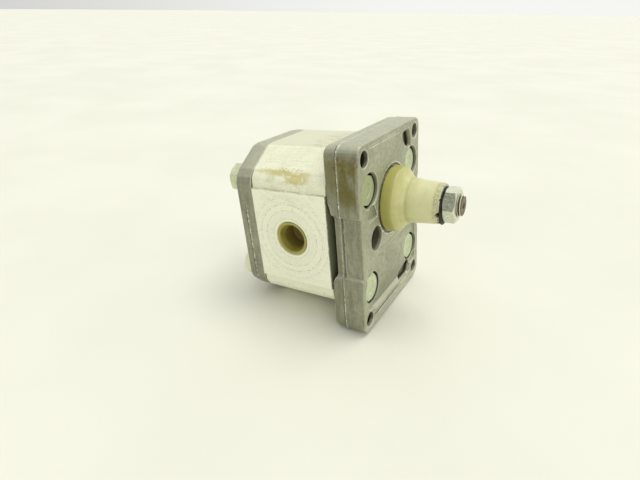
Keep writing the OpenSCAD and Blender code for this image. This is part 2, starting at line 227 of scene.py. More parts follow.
def apply_modifiers(target):
    bpy.context.view_layer.update()
    depsgraph = bpy.context.evaluated_depsgraph_get()
    mesh = bpy.data.meshes.new_from_object(target.evaluated_get(depsgraph))
    target.modifiers.clear()
    target.data = mesh


def boolean(target, tools, operation="DIFFERENCE"):
    for tool in tools:
        modifier = target.modifiers.new("cut", "BOOLEAN")
        modifier.operation = operation
        modifier.solver = "MANIFOLD"
        modifier.object = tool
    apply_modifiers(target)
    for tool in tools:
        bpy.data.objects.remove(tool)
    return target


def join(name, parts):
    """One object from several."""
    work = bmesh.new()
    for part in parts:
        work.from_mesh(part.data)
        bpy.data.objects.remove(part)
    mesh = bpy.data.meshes.new(name)
    work.to_mesh(mesh)
    work.free()
    return add_object(name, mesh)


def finish_piece(piece, body, slot, nodes=(), weighted=True):
    """Shades a piece, gives it its material, parents it to the empty of the body it rides on and hides the
    CAD nodes it stands for.
    """
    piece.data.shade_smooth()
    piece.data.set_sharp_from_angle(angle=SHARP_ANGLE)
    if weighted:
        modifier = piece.modifiers.new("normals", "WEIGHTED_NORMAL")
        modifier.keep_sharp = True
        modifier.weight = 80
    piece.data.materials.clear()
    piece.data.materials.append(MATERIALS[slot])
    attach(piece, body)
    if nodes:
        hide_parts(*nodes)
    return piece


def thread(name, x0, x1, root, crest, pitch, steps=48, rings=8, lead=1.2):
    """A bar along X with a real helical thread and a chamfer at its outer end."""
    levels = int(round((x1 - x0) / pitch * rings))
    loops = []
    for level in range(levels + 1):
        x = x0 + (x1 - x0) * level / levels
        limit = crest - max(0.0, lead - (x1 - x))
        loop = []
        for step in range(steps):
            turn = step / steps
            phase = (x / pitch - turn) % 1.0
            ridge = min(1.0, max(0.0, 1.15 - abs(phase - 0.5) * 2.9))
            radius = min(root + (crest - root) * ridge, limit)
            angle = 2 * math.pi * turn
            loop.append((radius * math.cos(angle), radius * math.sin(angle)))
        loops.append((x, loop))
    return loft(name, loops)


# ---- material tools
class Shader:
    """A Principled material, the colour laid on it so far, and short calls for the nodes round it."""

    def __init__(self, name, metallic=0.0):
        self.material = bpy.data.materials.new(name)
        self.material.use_nodes = True
        self.tree = self.material.node_tree
        self.surface = self.tree.nodes["Principled BSDF"]
        self.surface.inputs["Metallic"].default_value = metallic
        self.colour = None
        self.place = self.node("ShaderNodeTexCoord").outputs["Object"]
        self.place = self.stretched((1 / MM, 1 / MM, 1 / MM))

    def set(self, socket, value):
        if isinstance(value, bpy.types.NodeSocket):
            self.tree.links.new(value, socket)
        elif hasattr(socket.default_value, "__len__") and len(socket.default_value) == 4:
            socket.default_value = tuple(value)[:3] + (1.0,)
        else:
            socket.default_value = value

    def node(self, kind, settings=None, **inputs):
        made = self.tree.nodes.new(kind)
        for key, value in (settings or {}).items():
            setattr(made, key, value)
        for key, value in inputs.items():
            self.set(made.inputs[key.replace("_", " ")], value)
        return made

    def math(self, operation, first, second=0.0, clamp=False):
        made = self.node("ShaderNodeMath", {"operation": operation, "use_clamp": clamp})
        self.set(made.inputs[0], first)
        self.set(made.inputs[1], second)
        return made.outputs[0]

    def times(self, *factors):
        product = factors[0]
        for factor in factors[1:]:
            product = self.math("MULTIPLY", product, factor)
        return product

    def either(self, first, second):
        return self.math("MAXIMUM", first, second)

    def inverse(self, mask):
        return self.math("SUBTRACT", 1.0, mask)

    def absolute(self, value):
        return self.math("ABSOLUTE", value)

    def vector(self, operation, first, second=None):
        made = self.node("ShaderNodeVectorMath", {"operation": operation})
        self.set(made.inputs[0], first)
        if second is not None:
            self.set(made.inputs[1], second)
        return made.outputs["Value" if operation in ("LENGTH", "DOT_PRODUCT") else "Vector"]

    def stretched(self, scale):
        return self.node("ShaderNodeMapping", Vector=self.place, Scale=scale).outputs["Vector"]

    def noise(self, size, detail=3.0, rough=0.55, vector=None, twist=0.0):
        """Noise whose lumps are about size mm across."""
        made = self.node("ShaderNodeTexNoise", Vector=vector or self.place, Scale=1 / size,
                         Detail=detail, Roughness=rough, Distortion=twist)
        return made.outputs["Fac"]

    def spread(self, value, low, high, to_low=0.0, to_high=1.0):
        made = self.node("ShaderNodeMapRange", {"interpolation_type": "SMOOTHSTEP"}, Value=value,
                         From_Min=low, From_Max=high, To_Min=to_low, To_Max=to_high)
        return made.outputs["Result"]

    def flecks(self, size, detail, rough, *limits):
        """Noise that is spread between limits."""
        return self.spread(self.noise(size, detail, rough), *limits)

    def mix(self, amount, first, second):
        made = self.node("ShaderNodeMix", {"data_type": "RGBA", "blend_type": "MIX"})
        self.set(made.inputs["Factor"], amount)
        self.set(made.inputs[6], first)
        self.set(made.inputs[7], second)
        return made.outputs[2]

    def base(self, amount, dark, light):
        self.colour = self.mix(amount, dark, light)

    def tint(self, mask, target, share=None):
        """Lays a colour over what is there, where the mask is 1 and as far as the share says."""
        amount = mask if share is None else self.times(mask, share)
        self.colour = self.mix(amount, self.colour, target)

    def bump(self, height, distance, strength=1.0, below=None):
        made = self.node("ShaderNodeBump", Height=height, Distance=distance * MM, Strength=strength)
        if below is not None:
            self.tree.links.new(below, made.inputs["Normal"])
        return made.outputs["Normal"]

    def blob(self, centre, size, soft=0.4):
        """1 inside an ellipsoid about a point in mm, falling to 0 at its edge."""
        share = self.vector("DIVIDE", self.vector("SUBTRACT", self.place, centre), size)
        return self.spread(self.vector("LENGTH", share), soft, 1.0, 1.0, 0.0)

    def distance_from(self, centre, across=(1, 1, 1)):
        """Distance in mm from a point, or from an axis where across is 0 along it."""
        away = self.vector("SUBTRACT", self.place, centre)
        return self.vector("LENGTH", self.vector("MULTIPLY", away, across))

    def axis(self, index):
        return self.node("ShaderNodeSeparateXYZ", Vector=self.place).outputs[index]

    def normal(self, index):
        """The surface normal's share along one axis, with its sign."""
        geometry = self.node("ShaderNodeNewGeometry")
        return self.node("ShaderNodeSeparateXYZ", Vector=geometry.outputs["True Normal"]).outputs[index]

    def facing(self, index):
        """How squarely the surface faces along one of the object's axes, either way."""
        return self.absolute(self.normal(index))

    def edges(self, reach=0.5, low=0.02, high=0.16):
        """1 along edges, within about reach mm of them."""
        geometry = self.node("ShaderNodeNewGeometry")
        rounded = self.node("ShaderNodeBevel", {"samples": 4}, Radius=reach * MM)
        along = self.vector("DOT_PRODUCT", geometry.outputs["Normal"], rounded.outputs["Normal"])
        return self.spread(self.inverse(along), low, high)

    def hollows(self, reach=3.0, open_share=0.85, closed_share=0.35, own=True):
        """1 in corners and cavities that see little of what lies within reach mm."""
        cover = self.node("ShaderNodeAmbientOcclusion", {"samples": 6, "only_local": own},
                          Distance=reach * MM)
        return self.spread(cover.outputs["AO"], open_share, closed_share)

    def band(self, value, middle, half_width, soft=0.15):
        """1 where a value lies within half_width of a middle, fading out over soft."""
        away = self.absolute(self.math("SUBTRACT", value, middle))
        return self.spread(away, half_width + soft, half_width)

    def finish(self, roughness, normal):
        self.set(self.surface.inputs["Base Color"], self.colour)
        self.set(self.surface.inputs["Roughness"], roughness)
        self.set(self.surface.inputs["Normal"], normal)
        return self.material


LIGHT_SKIN = (0.6, 0.61, 0.47)


def parting_line(s, x, line, broken, where):
    """A narrow raised line left by the die, rubbed bright in places and given a painted highlight, with
    grime and painted shade along its back.
    """
    sideways = s.spread(s.facing(0), 0.5, 0.3)
    here = s.times(sideways, where, broken)
    # Grime and painted shade along the back of the rib.
    grime_and_shade = s.times(sideways, where, s.band(x, line - 0.65, 0.22, 0.25))
    s.tint(grime_and_shade, (0.06, 0.057, 0.036), 0.7)
    # Rubbed metal and a painted highlight along the rib.
    bright = s.times(here, s.band(x, line, 0.22, 0.18))
    s.tint(bright, (0.95, 0.95, 0.84), 0.9)


def flange_depth(s):
    """How far a point lies behind the flange's front, waists, top and bottom, in mm."""
    side = s.math("SUBTRACT", FLANGE_HIGH[1] - 1.9, s.absolute(s.axis(1)))
    front = s.times(s.axis(0), -1.0)
    top = s.math("SUBTRACT", FLANGE_HIGH[2], s.axis(2))
    bottom = s.math("SUBTRACT", s.axis(2), FLANGE_LOW[2])
    depth = s.math("MINIMUM", s.math("MINIMUM", side, front), s.math("MINIMUM", top, bottom))
    forward = s.spread(s.normal(0), -0.95, -0.8)
    return s.times(depth, s.times(forward, s.spread(s.axis(0), -23, -21)))


def flange_stains(s, speckle):
    """Brown oil film and rust on the upper left of the flange."""
    grime = s.noise(7, 5, 0.65, s.stretched((1.0, 1.0, 0.4)), 0.4)
    x = s.axis(0)
    z = s.axis(2)
    outside = s.spread(s.axis(1), -38, -42)
    height = s.times(s.spread(z, 3, 14), s.spread(z, 37, 30))
    front = s.times(s.band(x, -6.6, 4.4, 1.1), height)
    back = s.times(s.band(x, -17, 4.0, 1.5), s.times(height, s.spread(z, 10, 22)))
    patch = s.either(front, s.times(back, 0.75))
    film = s.times(patch, outside, s.spread(grime, 0.26, 0.5))
    film = s.times(film, s.spread(speckle, 0.3, 0.6, 0.75, 1.0))
    s.tint(film, (0.128, 0.108, 0.014), 0.93)
    top = s.blob((-9, -44, 32), (13, 8, 5.5), 0.55)
    rust = s.times(top, s.flecks(2.6, 4, 0.7, 0.53, 0.6))
    s.tint(rust, (0.165, 0.092, 0.016), 0.75)
    return film


def cast_skin(s, mottle, speckle):
    """Mottled grey with fine grain, streaks and painted shade on the left-facing side, a painted highlight
    on up-facing surfaces, a lighter band below the pilot and a darker one near the bottom of the front
    face, pits and painted shade in hollows.
    """
    broad = s.noise(16, 4, 0.6, twist=0.6)
    grain = s.noise(0.45, 3, 0.6)
    s.base(s.spread(broad, 0.3, 0.7), (0.345, 0.355, 0.25), (0.455, 0.465, 0.34))
    s.tint(s.spread(mottle, 0.44, 0.7, 0.0, 0.48), (0.235, 0.24, 0.15))
    s.tint(s.spread(grain, 0.54, 0.72, 0.0, 0.45), (0.62, 0.63, 0.5))
    s.tint(s.spread(speckle, 0.52, 0.66, 0.0, 0.3), LIGHT_SKIN)
    # Streaks on the left-facing side, darkened there as painted shade.
    runs = s.noise(2.6, 4, 0.65, s.stretched((1.0, 1.0, 0.16)), 0.5)
    left = s.spread(s.normal(1), -0.45, -0.98)
    s.tint(s.times(left, s.spread(runs, 0.4, 0.68, 0.34, 0.66)), (0.16, 0.16, 0.105))
    # Painted highlight on up-facing surfaces.
    s.tint(s.spread(s.normal(2), 0.2, 0.85), LIGHT_SKIN, 0.45)
    s.tint(s.blob((0, 4, -20), (6, 30, 9), 0.3), (0.56, 0.57, 0.42), 0.45)
    s.tint(s.blob((-2, -6, -55), (4, 36, 9), 0.4), (0.27, 0.275, 0.19), 0.8)
    s.tint(s.flecks(1.1, 3, 0.75, 0.635, 0.675, 0.0, 0.7), (0.12, 0.12, 0.075))
    # Painted shade in hollows and cavities.
    s.tint(s.hollows(5.0, 0.88, 0.38), (0.085, 0.085, 0.052), 0.7)


def cast_shade(s, mottle, depth):
    """Painted shade behind the flange's front, less on floors that face forward and in the oval pockets,
    and painted shade in tight corners.
    """
    shade = s.spread(depth, 1.3, 2.8, 0.0, 0.94)
    in_front = s.spread(s.axis(0), -13, -10, 0.1, 0.62)
    floors = s.times(s.spread(s.normal(0), 0.6, 0.9), s.spread(mottle, 0.2, 0.8, 0.4, 1.0))
    shade = s.times(shade, s.inverse(s.times(floors, in_front)))
    ovals = [s.blob((-4, side * OVAL_Y, OVAL_Z), (9, 9.5, 9.5), 0.3) for side in (-1, 1)]
    shade = s.times(shade, s.inverse(s.times(s.either(*ovals), 0.9)))
    s.tint(shade, (0.02, 0.017, 0.009))
    # Painted shade in tight corners.
    s.tint(s.hollows(1.0, 0.86, 0.58), (0.045, 0.045, 0.027), 0.7)
    return shade


def cast_wear_and_highlight(s, mottle, depth, dashed):
    """Edges rubbed bright and given a painted highlight, except in the gaps of the flange's parting line.
    """
    # Rubbed edges and a painted edge highlight in one bright colour.
    wear_and_highlight = s.times(s.edges(0.6, 0.01, 0.08), s.spread(mottle, 0.36, 0.52))
    wear_and_highlight = s.times(wear_and_highlight, s.spread(depth, 3.0, 1.6))
    gaps = s.times(s.band(s.axis(0), FLANGE_LINE_X, 0.8, 0.3), s.inverse(dashed))
    s.tint(s.times(wear_and_highlight, s.inverse(gaps)), (0.93, 0.94, 0.82), 0.9)


def cast_lines(s, dashed):
    """The parting lines of flange and cover, a painted highlight round the pilot, painted light on the
    ramp near the lower edge and a lighter band along the lowest edge.
    """
    x = s.axis(0)
    z = s.axis(2)
    broken = s.flecks(1.8, 4, 0.8, 0.47, 0.53)
    blocks = s.either(s.spread(z, 1.5, 3.5), s.spread(z, -34, -36))
    parting_line(s, x, FLANGE_LINE_X, dashed, blocks)
    low_side = s.times(s.spread(z, 6, 0), s.spread(s.normal(2), 0.3, 0.1))
    parting_line(s, x, COVER_LINE_X, broken, low_side)
    # Painted highlight on the relief ring round the pilot.
    ring = s.band(s.distance_from((0, 0, 0), (0, 1, 1)), 21.25, 0.4, 0.2)
    s.tint(s.times(ring, broken, s.spread(x, -1.4, -1.0)), (0.95, 0.95, 0.86), 0.85)
    # Painted light on the ramp under the broad recess.
    ramp = s.times(s.band(z, -60.0, 1.3, 0.6), s.spread(x, -2.5, -1.5))
    s.tint(s.times(ramp, s.band(s.axis(1), -2, 26, 3)), (0.76, 0.77, 0.63), 0.55)
    lowest = s.times(s.spread(z, -65.6, -66.2), s.spread(x, -2.5, -1.0))
    s.tint(lowest, (0.8, 0.81, 0.66), 0.22)


def cast_aluminium():
    """Die-cast skin: fine grain, mottled grey, bright rubbed edges with painted highlights, painted shade
    in cavities, and oil stains.
    """
    s = Shader("cast_aluminium", metallic=0.5)
    mottle = s.noise(2.4, 5, 0.65)
    speckle = s.noise(1.6, 4, 0.75)
    cast_skin(s, mottle, speckle)
    depth = flange_depth(s)
    shade = cast_shade(s, mottle, depth)
    dashed = s.flecks(1.3, 3, 0.8, 0.49, 0.54)
    cast_wear_and_highlight(s, mottle, depth, dashed)
    cast_lines(s, dashed)
    film = flange_stains(s, speckle)
    rough = s.spread(mottle, 0.3, 0.7, 0.4, 0.58)
    rough = s.math("SUBTRACT", rough, s.times(film, 0.12))
    rough = s.math("ADD", rough, s.times(shade, 0.5), clamp=True)
    low = s.bump(s.noise(5, 3, 0.5), 0.25, 0.5)
    return s.finish(rough, s.bump(s.noise(0.7, 4, 0.65), 0.12, 0.8, low))


def milled_rings(s):
    """Fine broken circles round the ports, as wide and narrow lines."""
    side = s.spread(s.facing(1), 0.97, 0.995)
    radius = s.distance_from((PORT_X, 0, MID_Z), (1, 0, 1))
    lift = s.node("ShaderNodeCombineXYZ", X=radius)
    zone = s.times(side, s.spread(radius, 25, 29, 1.0, 0.1))
    fine = s.noise(0.55, 3, 0.75, lift.outputs[0])
    bold = s.noise(0.95, 1, 0.4, lift.outputs[0])
    broken = s.flecks(1.6, 6, 0.85, 0.48, 0.54)
    near = s.spread(radius, 19, 13, 0.35, 1.0)
    fine_lines = s.times(zone, near, s.spread(fine, 0.5, 0.6))
    bold_lines = s.times(zone, broken, s.spread(bold, 0.555, 0.6))
    return side, fine_lines, bold_lines


def body_stains(s):
    """Yellow-brown oil along the crease above the left port, with a drip below it."""
    grime = s.noise(4.0, 6, 0.75, s.stretched((0.45, 1.0, 1.0)), 1.0)
    crease = s.blob((-49, -41.8, 22.8), (27, 9, 2.4), 0.45)
    film = s.times(crease, s.spread(grime, 0.34, 0.5))
    s.tint(film, (0.62, 0.53, 0.15), 0.78)
    run = s.blob((-40, -42, 20.2), (11, 8, 4.0), 0.45)
    run = s.times(run, s.flecks(3.0, 5, 0.7, 0.4, 0.5))
    s.tint(run, (0.62, 0.53, 0.14), 0.72)
    edge = s.times(s.blob((-50, -41, 24.2), (25, 8, 1.3), 0.5), s.flecks(1.6, 5, 0.8, 0.52, 0.58))
    s.tint(edge, (0.34, 0.25, 0.06), 0.75)
    gaps = s.spread(s.noise(2.0, 5, 0.8, s.stretched((0.5, 1.0, 1.0))), 0.44, 0.54)
    lip = s.times(s.band(s.axis(2), MID_Z + 28.7, 0.22, 0.22), gaps)
    s.tint(lip, (0.32, 0.27, 0.11), 0.38)
    on_top = s.blob((-30, -8, BODY_HIGH[2]), (20, 38, 5), 0.5)
    dust = s.times(on_top, s.spread(s.noise(5.0, 5, 0.75, s.stretched((0.5, 1.0, 1.0))), 0.42, 0.6))
    s.tint(dust, (0.5, 0.45, 0.26), 0.45)
    area = s.blob((-45, -42, 14), (27, 9, 15), 0.5)
    trace = s.times(s.spread(grime, 0.52, 0.6), area)
    s.tint(trace, (0.52, 0.46, 0.22), 0.3)


def body_skin(s, streak, blotch, side, fine_lines, bold_lines):
    """Bright extruded metal: a flat pale port face, painted shade on up-facing flats, drawn streaks,
    milled rings and dark specks.
    """
    level = s.spread(s.normal(2), 0.93, 0.995)
    s.base(s.spread(blotch, 0.3, 0.7), (0.88, 0.89, 0.68), (0.96, 0.97, 0.76))
    # Painted shade on up-facing flats.
    s.tint(level, (0.58, 0.58, 0.42), 0.6)
    on_port_face = s.times(side, s.band(s.axis(2), MID_Z, 28.3, 0.4))
    s.tint(on_port_face, (1.0, 1.0, 0.82), 0.8)
    streaked = s.inverse(s.times(side, 0.7))
    streaked = s.times(streaked, s.spread(streak, 0.45, 0.7))
    s.tint(streaked, (0.58, 0.585, 0.43), 0.26)
    s.tint(fine_lines, (0.48, 0.47, 0.32), 0.3)
    s.tint(bold_lines, (0.34, 0.33, 0.2), 0.45)
    handled = s.flecks(1.5, 5, 0.8, 0.48, 0.66, 0.0, 0.34)
    s.tint(handled, (0.66, 0.66, 0.48))
    specks = s.flecks(0.75, 4, 0.7, 0.635, 0.675, 0.0, 0.8)
    s.tint(specks, (0.22, 0.2, 0.11))


def body_joints(s):
    """Dirt in the joints with the flange and the cover, and painted shade on the front end, deep behind
    the flange.
    """
    x = s.axis(0)
    joint = s.either(s.spread(x, BODY_LOW[0] + 0.65, BODY_LOW[0] + 0.3),
                     s.spread(x, BODY_HIGH[0] - 0.55, BODY_HIGH[0] - 0.2))
    joint = s.times(joint, s.flecks(1.5, 4, 0.8, 0.38, 0.5, 0.35, 1.0))
    s.tint(joint, (0.06, 0.055, 0.03), 0.85)
    # Painted shade on the front end, which lies deep behind the flange.
    front_end_shade = s.times(s.spread(s.normal(0), 0.6, 0.9),
                        s.spread(x, BODY_HIGH[0] - 1.0, BODY_HIGH[0] - 0.4))
    s.tint(front_end_shade, (0.215, 0.217, 0.135), 0.96)


def body_aluminium():
    """Extruded profile: streaks along the pump, milled rings on the port faces, an oil-stained crease."""
    s = Shader("body_aluminium", metallic=0.05)
    streak = s.noise(1.0, 4, 0.6, s.stretched((0.045, 1.0, 1.0)))
    blotch = s.noise(9, 4, 0.6, twist=0.8)
    side, fine_lines, bold_lines = milled_rings(s)
    body_skin(s, streak, blotch, side, fine_lines, bold_lines)
    body_joints(s)
    body_stains(s)
    rough = s.spread(blotch, 0.3, 0.7, 0.38, 0.54)
    rough = s.math("ADD", rough, s.times(s.spread(streak, 0.4, 0.7), 0.1))
    coarse = s.bump(s.noise(7, 2, 0.5), 0.1, 0.4)
    drawn = s.bump(streak, 0.05, 0.6, coarse)
    milled = s.bump(s.math("ADD", fine_lines, bold_lines), -0.06, 0.8, drawn)
    return s.finish(rough, milled)


def machined(name, dark, light, roughness=0.32, metallic=0.9, size=1.2):
    """A turned or ground metal with fine rings about X and faint handling marks."""
    s = Shader(name, metallic=metallic)
    marks = s.noise(size, 4, 0.6, s.stretched((3.0, 0.5, 0.5)))
    cloud = s.noise(6, 3, 0.6, twist=0.7)
    s.base(s.spread(cloud, 0.3, 0.7), dark, light)
    s.tint(s.spread(marks, 0.55, 0.75, 0.0, 0.4), tuple(v * 0.6 for v in dark))
    rough = s.spread(marks, 0.3, 0.7, roughness * 0.8, roughness * 1.3)
    return s.finish(rough, s.bump(marks, 0.02, 0.6))


def zinc(name, dark, light, blotch_colour, blotch_amount, roughness, metallic=0.5, shaded_flat=0.0):
    """Zinc plate: cloudy, with duller patches, scratches, rubbed edges and painted shade where other parts
    come close. One flat facing −Y can be darkened with painted shade, and the rear nuts are lighter.
    """
    s = Shader(name, metallic=metallic)
    cloud = s.noise(3.5, 5, 0.65, twist=0.8)
    patch = s.noise(1.5, 5, 0.7)
    scratch = s.noise(0.7, 3, 0.6, s.stretched((1.0, 0.22, 1.6)))
    s.base(s.spread(cloud, 0.3, 0.7), dark, light)
    s.tint(s.spread(patch, 0.46, 0.64, 0.0, blotch_amount), blotch_colour)
    # Painted shade on the flat that faces −Y and a little up.
    if shaded_flat:
        fleck = s.flecks(0.8, 4, 0.75, 0.4, 0.58, 0.45, 1.0)
        flat = s.times(s.band(s.normal(2), 0.47, 0.1, 0.05), s.spread(s.normal(1), -0.6, -0.8))
        flat_shade = s.times(flat, shaded_flat, fleck)
        s.tint(flat_shade, tuple(v * 0.5 for v in blotch_colour))
    s.tint(s.spread(scratch, 0.6, 0.72, 0.0, 0.35), (0.82, 0.83, 0.74))
    s.tint(s.edges(0.35), (0.93, 0.94, 0.84), 0.7)
    # Painted shade where other parts come close.
    s.tint(s.hollows(1.2, own=False), (0.1, 0.105, 0.06), 0.75)
    # Lighter on the rear nuts, most towards the bottom.
    rear_nut_lighter = s.spread(s.axis(0), COVER_LOW[0] + 3, COVER_LOW[0])
    rear_nut_lighter = s.times(rear_nut_lighter, s.spread(s.axis(2), 5, -20, 0.3, 0.9))
    s.tint(rear_nut_lighter, (0.86, 0.9, 0.66))
    shaded = s.blob((0, -TIE_Y, TIE_UP), (9, 13, 13), 0.7)
    s.tint(shaded, (0.3, 0.31, 0.15), 0.45)
    rough = s.spread(patch, 0.3, 0.7, roughness * 0.8, roughness * 1.25)
    below = s.bump(cloud, 0.08, 0.4)
    return s.finish(rough, s.bump(scratch, 0.04, 0.6, below))


def dark_steel():
    # Near-black steel for the loose washer, its darkness partly painted shade for the narrow gap between
    # the protector and the nut.
    s = Shader("dark_steel", metallic=0.3)
    patch = s.noise(1.8, 5, 0.7)
    s.base(s.spread(patch, 0.4, 0.7), (0.01, 0.01, 0.007), (0.03, 0.029, 0.02))
    s.tint(s.edges(), (0.16, 0.16, 0.12), 0.25)
    return s.finish(s.spread(patch, 0.3, 0.7, 0.42, 0.62), s.bump(patch, 0.06, 0.5))


def rusty_steel():
    """A thread end with brown rust in its roots, and bare steel with a painted highlight on its crests."""
    s = Shader("rusty_steel", metallic=0.1)
    patch = s.noise(1.4, 6, 0.7, twist=1.0)
    fine = s.noise(0.4, 4, 0.7)
    radius = s.distance_from((0, 0, 0), (0, 1, 1))
    # Bare steel on the crests, lightened to near white as a painted highlight.
    crest = s.times(s.spread(radius, 5.45, 5.85), s.spread(patch, 0.34, 0.52, 0.35, 1.0))
    s.base(s.spread(patch, 0.38, 0.66), (0.055, 0.038, 0.014), (0.15, 0.112, 0.05))
    s.tint(s.spread(fine, 0.5, 0.66, 0.0, 0.7), (0.032, 0.022, 0.008))
    s.tint(crest, (0.86, 0.83, 0.66), 0.95)
    on_end = s.times(s.spread(s.facing(0), 0.8, 0.95), s.spread(radius, 1.9, 2.3))
    bare = s.times(on_end, s.flecks(1.1, 5, 0.8, 0.44, 0.56))
    s.tint(bare, (0.38, 0.33, 0.22), 0.7)
    s.tint(s.edges(0.22), (0.8, 0.77, 0.64), 0.5)
    return s.finish(s.spread(patch, 0.3, 0.7, 0.5, 0.8), s.bump(fine, 0.12, 0.8))


def moulded_plastic(name, dark, light, stain, roughness, scatter, scatter_size):
    """Moulded plastic that lets some light through, with flow marks, scuffs and a few dark marks."""
    s = Shader(name)
    flow = s.noise(11, 3, 0.5, twist=0.9)
    cloud = s.noise(3.0, 4, 0.6)
    scuff = s.noise(0.9, 5, 0.7, s.stretched((1.0, 0.5, 0.5)))
    s.base(s.spread(flow, 0.3, 0.7), dark, light)
    s.tint(s.spread(cloud, 0.52, 0.75, 0.0, 0.3), stain)
    s.tint(s.spread(scuff, 0.66, 0.76, 0.0, 0.45), stain)
    rough = s.spread(scuff, 0.3, 0.7, roughness * 0.8, roughness * 1.3)
    s.surface.inputs["Subsurface Weight"].default_value = scatter
    s.surface.inputs["Subsurface Radius"].default_value = (1.0, 0.85, 0.45)
    s.surface.inputs["Subsurface Scale"].default_value = scatter_size * MM
    s.surface.inputs["IOR"].default_value = 1.5
    return s, rough, s.bump(scuff, 0.05, 0.5, s.bump(flow, 0.15, 0.4))


def cap_plastic():
    s, rough, normal = moulded_plastic(
        "cap_plastic", (0.6, 0.59, 0.275), (0.69, 0.68, 0.355), (0.46, 0.39, 0.12), 0.36, 0.3, 2.0)
    x = s.axis(0)
    flaws = s.noise(0.75, 5, 0.8)
    collar = s.spread(x, CAP_HIGH[0] - 4.2, CAP_HIGH[0] - 2.4)
    crushed = s.times(collar, s.spread(flaws, 0.49, 0.56))
    s.tint(crushed, (0.33, 0.29, 0.11), 0.72)
    pale = s.times(s.spread(x, CAP_HIGH[0] - 0.9, CAP_HIGH[0] - 0.3), s.spread(flaws, 0.6, 0.4))
    s.tint(pale, (0.92, 0.9, 0.74), 0.8)
    # Darker olive over the skirt: painted shade.
    skirt = s.spread(x, 12.5, 2.5)
    s.tint(skirt, (0.42, 0.398, 0.092), 0.9)
    # Lighter along the tube.
    tube_lighter = s.spread(x, 12.0, 20.0)
    s.tint(tube_lighter, (0.82, 0.82, 0.54), 0.45)
    # Painted shade along the shoulder's creases.
    crease = s.either(s.band(x, 12.4, 0.3, 0.9), s.band(x, 5.9, 0.2, 0.5))
    s.tint(crease, (0.4, 0.37, 0.15), 0.3)
    pitted = s.bump(s.times(crushed, s.noise(0.6, 3, 0.6)), 0.35, 0.9, normal)
    return s.finish(rough, pitted)


def plug_plastic():
    s, rough, normal = moulded_plastic(
        "plug_plastic", (0.215, 0.186, 0.014), (0.33, 0.288, 0.036), (0.14, 0.1, 0.006), 0.38, 0.15, 1.0)
    depth = s.spread(s.absolute(s.axis(1)), BODY_HALF_W - 2.2, BODY_HALF_W - 7.5)
    radius = s.distance_from((PORT_X, 0, MID_Z), (1, 0, 1))
    inside = s.times(depth, s.spread(radius, 9.4, 8.6))
    mouth = s.spread(s.absolute(s.axis(1)), BODY_HALF_W - 1.8, BODY_HALF_W - 0.5)
    s.tint(mouth, (0.52, 0.47, 0.17), 0.45)
    rings = s.noise(0.9, 3, 0.7, s.node("ShaderNodeCombineXYZ", X=s.axis(1)).outputs[0])
    s.tint(inside, (0.25, 0.19, 0.055), 0.82)
    s.tint(s.spread(rings, 0.46, 0.62, 0.0, 0.3), (0.16, 0.12, 0.02))
    return s.finish(rough, normal)


def rubber():
    s = Shader("seal_rubber")
    fine = s.noise(0.6, 4, 0.6)
    s.base(s.spread(fine, 0.3, 0.7), (0.018, 0.018, 0.016), (0.035, 0.034, 0.03))
    return s.finish(s.spread(fine, 0.3, 0.7, 0.55, 0.8), s.bump(fine, 0.03, 0.5))


def backup_plastic():
    s, rough, normal = moulded_plastic(
        "backup_plastic", (0.72, 0.69, 0.56), (0.78, 0.76, 0.65), (0.55, 0.5, 0.36), 0.45, 0.15, 0.8)
    return s.finish(rough, normal)


def make_materials():
    return {
        "cast_aluminium": cast_aluminium(),
        "body_aluminium": body_aluminium(),
        "block_aluminium": machined("block_aluminium", (0.6, 0.6, 0.55), (0.7, 0.7, 0.65)),
        "gear_steel": machined("gear_steel", (0.4, 0.4, 0.38), (0.55, 0.55, 0.52), 0.26),
        "bush_bronze": machined("bush_bronze", (0.5, 0.33, 0.16), (0.62, 0.43, 0.22), 0.34),
        "seal_rubber": rubber(),
        "backup_plastic": backup_plastic(),
        "spring_steel": machined("spring_steel", (0.22, 0.22, 0.2), (0.33, 0.33, 0.3), 0.38),
        "green_zinc": zinc("green_zinc", (0.5, 0.56, 0.34), (0.68, 0.74, 0.5),
                           (0.42, 0.47, 0.27), 0.5, 0.42, 0.25),
        "bright_zinc": zinc("bright_zinc", (0.68, 0.71, 0.52), (0.82, 0.85, 0.67),
                            (0.3, 0.34, 0.25), 0.35, 0.3, 0.5, 0.8),
        "dark_steel": dark_steel(),
        "rusty_steel": rusty_steel(),
        "cap_plastic": cap_plastic(),
        "plug_plastic": plug_plastic(),
    }


# ---- cutters
def turned(profile, *where, **how):
    return lathe("cutter", profile, *where, **how)


def swept(corners, profile, axis="X"):
    return shaped("cutter", corners, profile, axis)


def hole(centre, radius, x0, x1, chamfer=0.5):
    """A through hole along X with both of its lips broken."""
    profile = [(x0 - 1, radius + chamfer + 1), (x0, radius + chamfer), (x0 + chamfer, radius),
               (x1 - chamfer, radius), (x1, radius + chamfer), (x1 + 1, radius + chamfer + 1)]
    return turned(profile, centre)


def pocket(centre, radius, floor, lip=0.5, draft=0.0, corner=0.8):
    """A round blind pocket in the flange's front."""
    profile = fillet([(floor, 0, 0), (floor, radius - draft, corner), (-lip, radius, 0.3),
                      (0, radius + lip, 0), (1, radius + lip + 1, 0)], closed=False)
    return turned(profile, centre)


def recess(corners, floor, lip=0.4, draft=0.5, corner=0.5):
    """A cast recess with sloping walls in the flange's front."""
    lip = min(lip, -floor / 2)
    profile = fillet([(floor, -draft - 2 * corner, 0), (floor, -draft, corner), (-lip, 0, 0.3),
                      (0, lip, 0), (1, lip + 1, 0)], closed=False, steps=4)
    return swept(corners, profile)


def drill(centre, radius, x0, x1, steps=48):
    """A plain round hole along X."""
    return turned([(x0, radius), (x1, radius)], centre, steps=steps)


def drills(places, radius, x0, x1, steps=48):
    return [drill(centre, radius, x0, x1, steps) for centre in places]


